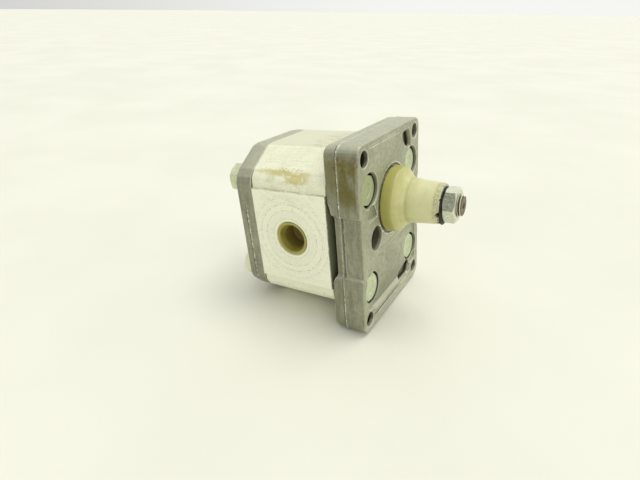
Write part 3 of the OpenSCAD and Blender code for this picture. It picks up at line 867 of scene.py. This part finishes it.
# ---- the flange
WAIST_SPAN = (-33.4, 0.9)


def flange_outline(waist_depth):
    """The flange's outline, with a waist of some depth on each side."""
    half = FLANGE_HIGH[1]
    waist = half - waist_depth
    slope = 0.6 + 0.6 * waist_depth
    low, high = WAIST_SPAN
    right = [(half, FLANGE_LOW[2], 6.5), (half, low - slope, 0.8), (waist, low, 0.9),
             (waist, high, 0.9), (half, high + slope, 0.8), (half, FLANGE_HIGH[2], 6.5)]
    left = [(-y, z, radius) for y, z, radius in reversed(right)]
    return right + left


# The flange's side from front to back, as (x, growth, depth of the waist). A rib follows the parting line.
FLANGE_SIDE = [
    (0, -4.0, 1.2), (0, -1.15, 1.2), (-0.1, -0.78, 1.2), (-0.34, -0.5, 1.2), (-0.75, -0.36, 1.2),
    (-3, -0.33, 1.2), (-10.3, -0.28, 1.2), (-10.7, -0.28, 1.6), (-11.3, -0.28, 1.6),
    (-11.6, -0.2, 0.8), (-11.9, 0.0, 0.55), (-12.3, 0.0, 0.5), (-12.6, -0.3, 0.6),
    (-13.2, -0.34, 0.8), (-13.6, -0.36, 1.7), (-15.2, -0.45, 2.3), (-18.4, -0.65, 2.6),
    (-19.3, -0.95, 2.6), (-19.9, -1.55, 2.6), (-20.2, -2.3, 2.6), (-20.2, -4.5, 2.6),
]


def flange_blank():
    loops = [(x, fillet(grow(flange_outline(waist), more))) for x, more, waist in FLANGE_SIDE]
    return loft("flange_casting", loops)


def flange():
    back = FLANGE_LOW[0]
    piece = flange_blank()
    pilot = lathe("pilot", fillet([(-3, 17, 0), (-3, PILOT_RADIUS, 0), (5, PILOT_RADIUS, 0.9), (5, 16, 0)],
                                  closed=False))
    boolean(piece, [pilot], "UNION")
    ring_front, ring_back = RING_HIGH[0], RING_LOW[0]
    seal_back = SEAL_LOW[0]
    bore = [(6, 0), (6, 15.4), (5.6, 15.2), (4.4, 14.0), (ring_front, 14.0), (ring_front, 14.9),
            (ring_back, 14.9), (ring_back, 14.0), (seal_back, 14.0), (seal_back, 10.0),
            (back - 1, 10.0)]
    cutters = [turned(bore)]
    relief = fillet([(-0.9, PILOT_RADIUS, 0.15), (-0.9, 20.2, 0.2), (0.9, 22.0, 0),
                     (0.9, PILOT_RADIUS, 0)], steps=3)
    cutters.append(turned(relief, ring=True))
    for centre in TIE_PLACES:
        cutters.append(pocket(centre, 9.8, POCKET_FLOOR, 0.4, 0.15, 0.9))
        cutters.append(drill(centre, TIE_HOLE, back - 1, -8, 64))
    cutters += [hole(centre, MOUNT_HOLE, back, 0, 0.3) for centre in MOUNT_PLACES]
    cutters += drills(DOWEL_PLACES, DOWEL_HOLE, back - 1, back + DOWEL_DEPTH)
    cutters += [pocket((side * OVAL_Y, OVAL_Z), 7.2, -9, 0.4, 0.8, 2.0) for side in (-1, 1)]
    boolean(piece, cutters)
    cutters = flange_recesses() + flange_hollows()
    return finish_piece(boolean(piece, cutters), "housing", "cast_aluminium", ["mounting_flange"])


WEDGE = [(26, 5.3, 1.2), (21.5, -3.1, 1.2), (33, -3.3, 1.2), (36, 3.6, 1.2)]

# Cast recesses in the mounting face, as (outline, floor, lip, draft, corner)
FACE_RECESSES = [
    (rectangle(-22, 19, -26.4, -23.4, 1.2), -0.45, 0.2, 0.3, 0.2),
    ([(-y, z, radius) for y, z, radius in reversed(WEDGE)], -1.3, 0.3, 0.4),
    (WEDGE, -1.3, 0.3, 0.4),
    (rectangle(-29, 11, 36.5, 37.5, 0.4), -0.35, 0.2, 0.1, 0.1),
    (rectangle(-29, 23, -65.2, -63.2, 0.8), -1.1, 0.25, 0.3, 0.3),
    ([(13.5, 34.5, 3), (20, 27.0, 3), (29.5, 22.5, 3), (29.5, 29.0, 3), (26.5, 35.8, 3)],
     -4.0, 0.6, 1.6, 0.9),
    ([(7.5, -57.0, 3), (9.5, -63.5, 2.5), (25.5, -64.3, 3.5), (29.5, -58.0, 3), (27.5, -52.5, 3)],
     -4.0, 0.6, 1.6, 0.9),
]


def flange_recesses():
    """The broad recess with the ramp under it, and the smaller recesses and pockets of the face."""
    broad = recess(rectangle(-37.5, 37.5, -58.3, -27.2, 4), -1.2)
    ramp = [(0.6, -62.2, 0), (0.0, -61.4, 0), (-1.18, -58.4, 0.4), (-1.18, -56.0, 0), (0.6, -56.0, 0)]
    along = [(-29.5, -0.9), (-28.0, 0), (26.0, 0), (27.5, -0.9)]
    return [broad, swept(ramp, along, "Y")] + [recess(*row) for row in FACE_RECESSES]


def flange_hollows():
    """The deep hollow behind each side of the flange."""
    back = FLANGE_LOW[0]
    outline = [(back + 0.3, 12.6, 1.5), (-17.6, 6.5, 3), (-16.5, -1, 6), (-16.5, -34.5, 4),
               (back + 0.3, -41.0, 1.5), (back - 6, -44, 0.5), (back - 6, 14, 0.5)]
    side_y = FLANGE_HIGH[1]
    floor_y = side_y - 8.4
    cutters = []
    for side in (-1, 1):
        profile = [(side * (side_y + 2), 0.5), (side * (side_y - 2.8), 0.2),
                   (side * (floor_y + 0.8), -0.3), (side * floor_y, -1.1)]
        cutters.append(swept(outline, profile, axis="Y"))
    return cutters


# ---- the body and the cover
def mirrored(quarter):
    """A quarter outline of (y, height above the middle, radius) mirrored to all four sides."""
    top_right = [(y, MID_Z + up, radius) for y, up, radius in quarter]
    top_left = [(-y, z, radius) for y, z, radius in reversed(top_right)]
    low_left = [(y, 2 * MID_Z - z, radius) for y, z, radius in reversed(top_left)]
    low_right = [(-y, z, radius) for y, z, radius in reversed(low_left)]
    return top_right + top_left + low_left + low_right


def body():
    w = BODY_HALF_W
    h = BODY_HALF_H
    quarter = [(w, 28.6, 0.3), (w - 1.5, 28.75, 0.4), (w - 1.9, 34.2, 3.0), (w - 5.3, 38.9, 4.0),
               (w - 21, h - 0.8, 6.0), (w - 25, h, 8.0)]
    front = BODY_HIGH[0]
    back = BODY_LOW[0]
    profile = [(back, -3), (back, -0.35), (back + 0.35, 0), (front - 0.35, 0), (front, -0.35), (front, -3)]
    piece = shaped("body_extrusion", mirrored(quarter), profile)
    cutters = drills([(0, 0), (0, DRIVEN_Z)], CHAMBER_RADIUS, back - 1, front + 1, ROUND_STEPS)
    cutters += drills(TIE_PLACES, TIE_HOLE, back - 1, front + 1)
    for centre in DOWEL_PLACES:
        for end in (front, back):
            cutters.append(drill(centre, DOWEL_HOLE, end - DOWEL_DEPTH, end + DOWEL_DEPTH))
    for side in (-1, 1):
        cutters += port_cutters(side)
    boolean(piece, cutters)
    for x0, x1 in ((front - 2, front + 1), (back - 1, back + 2)):
        boolean(piece, [seal_groove(x0, x1)])
    return finish_piece(piece, "housing", "body_aluminium", ["pump_body"])


def seal_groove(x0, x1):
    """A racetrack-shaped groove round both gear chambers."""
    rings = []
    for radius in (20.45, 22.65):
        loop = []
        for step in range(49):
            turn = math.pi * step / 48
            loop.append((radius * math.cos(turn), radius * math.sin(turn)))
        for step in range(49):
            turn = math.pi + math.pi * step / 48
            loop.append((radius * math.cos(turn), DRIVEN_Z + radius * math.sin(turn)))
        rings.append(loop)
    inner, outer = rings
    return loft("cutter", [(x0, outer), (x1, outer), (x1, inner), (x0, inner)], ring=True)


def port_cutters(side):
    """The passage, a threaded hole with real thread rings, and the spot face round it."""
    centre = (PORT_X, MID_Z)
    face = side * BODY_HALF_W
    profile = [(face + side, 11.6), (face, 11.3), (face - side * 0.9, PORT_CREST)]
    depth = 1.2
    while depth < 15.5:
        profile.append((face - side * (depth + 0.25 * PORT_PITCH), PORT_ROOT))
        profile.append((face - side * (depth + 0.75 * PORT_PITCH), PORT_CREST))
        depth += PORT_PITCH
    profile += [(face - side * 17, PORT_CREST), (face - side * 18.5, 7.5), (side * 8, 7.5)]
    spot = [(face + side, 14.1), (face - side * 0.05, 13.9), (face - side * 0.2, 13.8),
            (face - side * 0.2, 9)]
    return [turned(profile, centre, "Y", 72), turned(spot, centre, "Y")]


def cover():
    w = BODY_HALF_W
    h = BODY_HALF_H
    quarter = [(w, 30.6, 5.0), (w - 1.4, 34.6, 4.0), (w - 5, 38.9, 5.0), (w - 20.6, h - 0.9, 6.0),
               (w - 25, h, 8.0)]
    front = COVER_HIGH[0]
    back = COVER_LOW[0]
    profile = fillet([(front, -4, 0), (front, -0.25, 0.4), (-75.8, 0, 0.4),
                      (-77.0, -0.05, 0.4), (back, -0.9, 2.6), (back, -5, 0)],
                     closed=False, steps=5)
    piece = shaped("cover_casting", mirrored(quarter), profile)
    cutters = []
    for centre in TIE_PLACES:
        cutters.append(drill(centre, TIE_HOLE, back - 1, front + 1))
        spot = [(back - 1, 10.4), (back, 10.0), (back + 0.02, 9.9), (back + 0.02, 4)]
        cutters.append(turned(spot, centre))
    cutters += drills(DOWEL_PLACES, DOWEL_HOLE, front - DOWEL_DEPTH, front + 1)
    boolean(piece, cutters)
    boolean(piece, cover_recesses())
    return finish_piece(piece, "housing", "cast_aluminium", ["rear_cover"])


def cover_recesses():
    """A shallow cast panel in the back, with the marks of four ejector pins in it."""
    back = COVER_LOW[0]
    panel = [(17, -58, 4), (17, -48, 6), (32, -30, 6), (32, -1, 6), (17, 17, 6), (17, 27, 4)]
    panel = panel + [(-y, z, radius) for y, z, radius in reversed(panel)]
    profile = fillet([(back - 1, 1.4, 0), (back, 0.4, 0), (back + 0.4, 0, 0.3), (back + 1.2, -0.5, 0.4),
                      (back + 1.2, -2.5, 0)], closed=False, steps=4)
    cutters = [swept(panel, profile)]
    for y, z in ((-10, 20), (10, 20), (-10, -51), (10, -51)):
        cutters.append(turned([(back - 1, 3.2), (back + 1.45, 3.0)], (y, z), steps=48))
    return cutters


# ---- fasteners
def hex_corners(across, turn=0.0):
    reach = across / math.sqrt(3)
    turns = [math.radians(turn + 60 * side) for side in range(6)]
    return [(reach * math.cos(t), reach * math.sin(t), 0.35) for t in turns]


def move_yz(piece, y, z):
    piece.data.transform(Matrix.Translation((0, y * MM, z * MM)))
    return piece


def hex_solid(name, across, x0, x1, turn=0.0, chamfer_ends=(True, True), bore=0.0):
    """A hexagon along X whose ends are turned down to a cone, with an optional bore."""
    piece = shaped(name, hex_corners(across, turn), [(x0, 0), (x1, 0)])
    flat = across / 2 - 0.25
    corner = across / math.sqrt(3) + 0.6
    drop = (corner - flat) * math.tan(math.radians(30))
    first = flat if chamfer_ends[0] else corner
    last = flat if chamfer_ends[1] else corner
    barrel = [(x0, first), (x0 + (drop if chamfer_ends[0] else 0.01), corner),
              (x1 - (drop if chamfer_ends[1] else 0.01), corner), (x1, last)]
    boolean(piece, [turned(barrel)], "INTERSECT")
    if bore:
        profile = [(x0 - 1, bore + 1.7), (x0, bore + 0.7), (x0 + 0.7, bore)]
        x = x0 + 1.2
        while x < x1 - 1.6:
            profile += [(x + 0.35, bore + 0.45), (x + 0.75, bore)]
            x += 1.5
        profile += [(x1 - 0.7, bore), (x1, bore + 0.7), (x1 + 1, bore + 1.7)]
        boolean(piece, [turned(profile, steps=72)])
    return piece


def tie_bolts():
    """Four long bolts: a hexagon head with a washer face under it, a shank and a threaded end."""
    front = BOLT_HIGH[0]
    back = BOLT_LOW[0]
    pieces = []
    for index, (y, z) in enumerate(TIE_PLACES):
        turn = (8, 41, 23, 15)[index]
        head = hex_solid("head", 16, POCKET_FLOOR + 0.3, front, turn, (False, True))
        face = lathe("face", [(POCKET_FLOOR, 7.6), (POCKET_FLOOR + 0.4, 7.7)])
        shank = lathe("shank", [(POCKET_FLOOR - 0.2, 4.9), (COVER_LOW[0] - 1, 4.9)], steps=48)
        end = thread("end", back, COVER_LOW[0] - 0.5, 4.2, 4.95, 1.5, 40, 6)
        end.data.transform(Matrix.Rotation(math.radians(40 * index), 4, "X"))
        bolt = boolean(head, [face, shank, end], "UNION")
        dimple = turned(fillet([(front - 0.5, 0, 0), (front - 0.5, 3.6, 0.6),
                                         (front + 0.5, 4.6, 0)], closed=False))
        boolean(bolt, [dimple])
        pieces.append(move_yz(bolt, y, z))
    return finish_piece(join("tie_bolt_set", pieces), "housing", "green_zinc", ["tie_bolts"])


def tie_washers():
    x0 = WASHER_LOW[0]
    x1 = WASHER_HIGH[0]
    corners = [(x0, 5.2, 0.15), (x0, WASHER_RADIUS, 0.35), (x1, WASHER_RADIUS, 0.2), (x1, 5.2, 0.1)]
    pieces = [lathe("washer", fillet(corners, steps=3), centre, ring=True) for centre in TIE_PLACES]
    return finish_piece(join("tie_washer_set", pieces), "housing", "green_zinc", ["tie_bolt_washers"])


def tie_nuts():
    pieces = []
    for index, (y, z) in enumerate(TIE_PLACES):
        turn = (12, 34, 3, 50)[index]
        nut = hex_solid("nut", 16, REAR_NUT_LOW[0], REAR_NUT_HIGH[0], turn, (True, True), 5.05)
        pieces.append(move_yz(nut, y, z))
    return finish_piece(join("tie_nut_set", pieces), "housing", "green_zinc", ["tie_bolt_nuts"])


# ---- the shaft end and its protector
SHAFT_CUT = 29.2


def drive_shaft():
    """The CAD shaft without its plain end, and a rusty threaded end in its place."""
    source = frame["nodes"]["drive_gear_shaft"]
    mesh = source.data.copy()
    work = bmesh.new()
    work.from_mesh(mesh)
    bmesh.ops.remove_doubles(work, verts=work.verts, dist=1e-7)
    everything = work.verts[:] + work.edges[:] + work.faces[:]
    cut = bmesh.ops.bisect_plane(work, geom=everything, plane_co=(SHAFT_CUT * MM, 0, 0),
                                 plane_no=(1, 0, 0), clear_outer=True)
    rim = [item for item in cut["geom_cut"] if isinstance(item, bmesh.types.BMEdge)]
    bmesh.ops.contextual_create(work, geom=rim)
    work.to_mesh(mesh)
    work.free()
    shaft = add_object("drive_shaft_and_gear", mesh)
    finish_piece(shaft, "drive_shaft", "gear_steel", ["drive_gear_shaft"], weighted=False)
    end_x = SHAFT_HIGH[0]
    end = thread("threaded_shaft_end", SHAFT_CUT, end_x, 4.95, 5.98, 1.5, 72, 12, 0.55)
    centre_hole = turned([(end_x - 2.6, 0.02), (end_x, 2.0), (end_x + 1, 3.0)], steps=48)
    boolean(end, [centre_hole])
    finish_piece(end, "drive_shaft", "rusty_steel")


def protector():
    """The moulded cap: a skirt over the pilot, a domed shoulder and a tapering tube."""
    x0 = CAP_LOW[0]
    x1 = CAP_HIGH[0]
    skirt = CAP_HIGH[1]
    corners = [(x0, skirt, 0.5), (6.4, skirt - 0.35, 2.6), (9.4, skirt - 4.2, 3.0),
               (12.3, 13.25, 0.7), (20, 12.4, 6), (x1 - 2.2, 11.65, 0.6), (x1 - 1.0, 11.5, 0.5),
               (x1, 11.4, 0.35), (x1, 9.5, 0.3), (x0 + 5.2, 9.5, 0.5), (x0 + 5.2, 18.6, 0.8),
               (x0, 18.55, 0.1)]
    piece = lathe("shaft_protector_cap", fillet(corners, steps=8), ring=True, steps=128)
    boolean(piece, cap_chips(x1))
    return finish_piece(piece, "shaft_cap", "cap_plastic", ["shaft_protector"])


# Damage round the protector's end, as (angle from the +Y axis in degrees, half width, depth)
CAP_CHIPS = [(196, 1.9, 2.3), (214, 1.3, 1.3), (229, 1.7, 2.0), (150, 0.8, 0.6), (103, 0.9, 0.5),
             (40, 1.2, 0.8), (300, 1.0, 0.7)]


def cap_chips(end):
    """Wedges that take small pieces out of the protector's end."""
    cutters = []
    for angle, half, depth in CAP_CHIPS:
        wedge = [(end + 1, -half * 1.5, 0), (end + 1, half * 1.3, 0), (end - 0.3 * depth, half * 0.8, 0.2),
                 (end - depth, half * 0.1, 0.15), (end - 0.5 * depth, -half * 0.7, 0.2)]
        loop = fillet(wedge, steps=3)
        cutter = loft("cutter", [(8.5, loop), (13, loop)], "Y")
        cutter.data.transform(Matrix.Rotation(math.radians(angle), 4, "X"))
        cutters.append(cutter)
    return cutters


def loose_washer():
    x0 = LOOSE_WASHER_LOW[0]
    x1 = LOOSE_WASHER_HIGH[0]
    centre_z = (LOOSE_WASHER_LOW[2] + LOOSE_WASHER_HIGH[2]) / 2
    corners = [(x0, 7.1, 0.15), (x0, 10.95, 0.1), (x0 + 0.25, 10.95, 0.1), (x1, 10.0, 0.2), (x1, 7.1, 0.2)]
    piece = lathe("loose_washer", fillet(corners, steps=4), (0, centre_z), ring=True)
    return finish_piece(piece, "shaft_cap", "dark_steel", ["nut_washer"])


def shaft_nut():
    piece = hex_solid("shaft_end_nut", 18, NUT_LOW[0], NUT_HIGH[0], 2, (True, True), 6.05)
    return finish_piece(piece, "shaft_cap", "bright_zinc", ["shaft_nut"])


def port_plug(name, side, node, body_name):
    """A hollow plug with a rounded mouth, a tapered cup and ribs that grip the port's thread."""
    mouth = PLUG_LOW[1] if side < 0 else -PLUG_LOW[1]
    inner = mouth - side * 14
    ribs = []
    depth = 2.4
    while depth < 12.5:
        ribs += [(mouth - side * depth, 10.28, 0.2), (mouth - side * (depth + 0.5), 10.05, 0.2)]
        depth += PORT_PITCH
    outside = [(mouth, 10.3, 0.45)] + ribs + [(inner, 10.1, 0.6)]
    inside = [(inner + side * 1.5, 7.0, 1.2), (mouth - side * 3.4, 7.15, 1.0), (mouth, 8.8, 0.5)]
    profile = fillet(outside + [(inner, 0, 0)], closed=False, steps=3)
    profile = profile + fillet([(inner + side * 1.5, 0, 0)] + inside + [(mouth, 9.6, 0)], closed=False,
                               steps=5)
    loops = [(along, circle(max(radius, 0.01), (PORT_X, MID_Z))) for along, radius in profile]
    piece = loft(name, loops, "Y", ring=True)
    return finish_piece(piece, body_name, "plug_plastic", [node])


# ---- carried-over CAD nodes
CAD_NODES = {
    "gear_steel": ["driven_gear_shaft"],
    "block_aluminium": ["front_bearing_block", "rear_bearing_block"],
    "bush_bronze": ["front_drive_bush", "front_driven_bush", "rear_drive_bush", "rear_driven_bush"],
    "seal_rubber": ["front_body_seal", "rear_body_seal", "front_balance_seal", "rear_balance_seal",
                    "shaft_seal"],
    "backup_plastic": ["front_backup_ring", "rear_backup_ring"],
    "spring_steel": ["seal_retaining_ring", "shaft_key", "dowel_pins"],
}


def dress_cad_nodes():
    for slot, nodes in CAD_NODES.items():
        for node in nodes:
            for holder in frame["nodes"][node].material_slots:
                holder.material = MATERIALS[slot]


# ---- stage, light and camera
CAMERA_PLACE = (0.09486, -0.22568, 0.08862)
CAMERA_YAW = math.radians(123.478)
CAMERA_PITCH = math.radians(-24.908)
CAMERA_ROLL = math.radians(-5.226)
CAMERA_LENS = 24.21
SENSOR_WIDTH = 36
CLIP_RANGE = (0.01, 120)

# Half of the floor's side, in mm
FLOOR_HALF = 30000

WORLD_BRIGHT_SIDE = Vector((0.62, 0.62, 0.48)).normalized()
WORLD_FADE = (-0.75, 0.45)
WORLD_DIM = 0.5
WORLD_BRIGHT = 0.92
WORLD_COLOUR = (1.0, 1.0, 0.965, 1.0)

SUN_STRENGTH = 1.0
SUN_ANGLE = math.radians(30)
SUN_COLOUR = (1.0, 0.99, 0.9)
SUN_DIRECTION = Vector((-0.3, -0.26, -1.0))


def camera():
    forward = Vector((math.cos(CAMERA_PITCH) * math.cos(CAMERA_YAW),
                      math.cos(CAMERA_PITCH) * math.sin(CAMERA_YAW), math.sin(CAMERA_PITCH)))
    level = forward.cross(Vector((0, 0, 1))).normalized()
    up = level.cross(forward)
    right = level * math.cos(CAMERA_ROLL) + up * math.sin(CAMERA_ROLL)
    top = up * math.cos(CAMERA_ROLL) - level * math.sin(CAMERA_ROLL)
    data = bpy.data.cameras.new("camera")
    data.lens = CAMERA_LENS
    data.sensor_width = SENSOR_WIDTH
    data.clip_start, data.clip_end = CLIP_RANGE
    made = add_object("camera", data)
    turn = Matrix((right, top, -forward)).transposed().to_4x4()
    made.matrix_world = Matrix.Translation(CAMERA_PLACE) @ turn
    bpy.context.scene.camera = made


def floor():
    """The pump leans back, so the floor passes under the flange's and the cover's rear edges."""
    low_x = FLANGE_LOW[0]
    low_z = FLANGE_LOW[2] + 0.5
    slope = (COVER_LOW[2] + 1.1 - low_z) / (COVER_LOW[0] + 1.5 - low_x)
    points = []
    for x, y, _ in rectangle(-FLOOR_HALF, FLOOR_HALF, -FLOOR_HALF, FLOOR_HALF, 0):
        points.append((x, y, low_z + slope * (x - low_x)))
    made = mesh_object("floor", points, [(0, 1, 2, 3)])
    s = Shader("floor_paper")
    cloud = s.noise(160, 3, 0.5)
    fibre = s.noise(3.0, 5, 0.7)
    s.base(s.spread(cloud, 0.3, 0.7), (0.8, 0.8, 0.71), (0.84, 0.84, 0.75))
    s.tint(s.spread(fibre, 0.62, 0.72, 0.0, 0.12), (0.62, 0.61, 0.48))
    made.data.materials.append(s.finish(0.7, s.bump(fibre, 0.1, 0.3)))


def world():
    """A pale room: bright behind and above the pump, dimmer on the side that the camera stands on."""
    made = bpy.data.worlds.new("studio")
    made.use_nodes = True
    tree = made.node_tree
    background = tree.nodes["Background"]
    coordinates = tree.nodes.new("ShaderNodeTexCoord")
    toward = tree.nodes.new("ShaderNodeVectorMath")
    toward.operation = "DOT_PRODUCT"
    toward.inputs[1].default_value = WORLD_BRIGHT_SIDE
    tree.links.new(coordinates.outputs["Generated"], toward.inputs[0])
    ramp = tree.nodes.new("ShaderNodeMapRange")
    ramp.interpolation_type = "SMOOTHSTEP"
    ramp.inputs["From Min"].default_value = WORLD_FADE[0]
    ramp.inputs["From Max"].default_value = WORLD_FADE[1]
    ramp.inputs["To Min"].default_value = WORLD_DIM
    ramp.inputs["To Max"].default_value = WORLD_BRIGHT
    tree.links.new(toward.outputs["Value"], ramp.inputs["Value"])
    tree.links.new(ramp.outputs["Result"], background.inputs["Strength"])
    background.inputs["Color"].default_value = WORLD_COLOUR
    bpy.context.scene.world = made


def lights():
    """A large soft light above and behind the pump's right, so its shadow falls to the front left."""
    data = bpy.data.lights.new("key", "SUN")
    data.energy = SUN_STRENGTH
    data.angle = SUN_ANGLE
    data.color = SUN_COLOUR
    made = add_object("key", data)
    made.rotation_mode = "QUATERNION"
    made.rotation_quaternion = SUN_DIRECTION.to_track_quat("-Z", "Y")


# ---- build
bpy.context.scene.view_settings.view_transform = "Standard"
MATERIALS = make_materials()
camera()
floor()
world()
lights()
flange()
body()
cover()
tie_bolts()
tie_washers()
tie_nuts()
drive_shaft()
protector()
loose_washer()
shaft_nut()
port_plug("inlet_port_plug", -1, "inlet_plug", "inlet_plug")
port_plug("outlet_port_plug", 1, "outlet_plug", "outlet_plug")
dress_cad_nodes()
